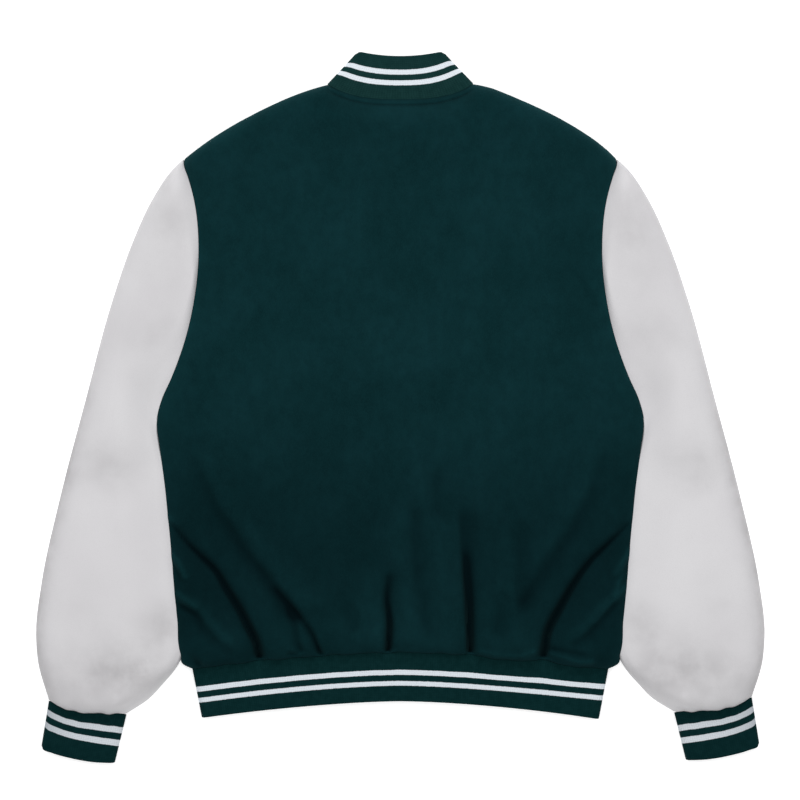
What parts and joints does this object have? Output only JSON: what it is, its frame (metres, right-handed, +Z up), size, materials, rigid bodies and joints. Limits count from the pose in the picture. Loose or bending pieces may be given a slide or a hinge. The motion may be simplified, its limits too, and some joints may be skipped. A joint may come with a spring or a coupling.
{
  "type": "bomber jacket",
  "caption": "Bomber jacket in varsity style laid flat, back up: wool body, set-in leather sleeves, striped rib-knit collar, cuffs and hem, snap front.",
  "frame": {"origin": "centre of the jacket's bounding box, on the floor that it lies on", "axes": "+Z up out of the jacket's back, +Y towards the collar, +X towards the wearer's right sleeve"},
  "size_m": [0.8372, 0.8174, 0.036],
  "materials": {
    "wool": "dark teal-green melton wool, matt",
    "leather": "smooth light grey, satin",
    "rib": "dark teal-green rib knit with two white stripes",
    "snap": "satin metal cap"
  },
  "bodies": {
    "root": {"back_panel": "wool", "front_left": "wool", "front_right": "wool", "sleeve_left": "leather", "sleeve_right": "leather", "collar": "rib", "hem_band": "rib", "cuff_left": "rib", "cuff_right": "rib", "snap_1": "snap", "snap_2": "snap", "snap_3": "snap", "snap_4": "snap", "snap_5": "snap", "snap_6": "snap", "snap_7": "snap"}
  },
  "joints": []
}
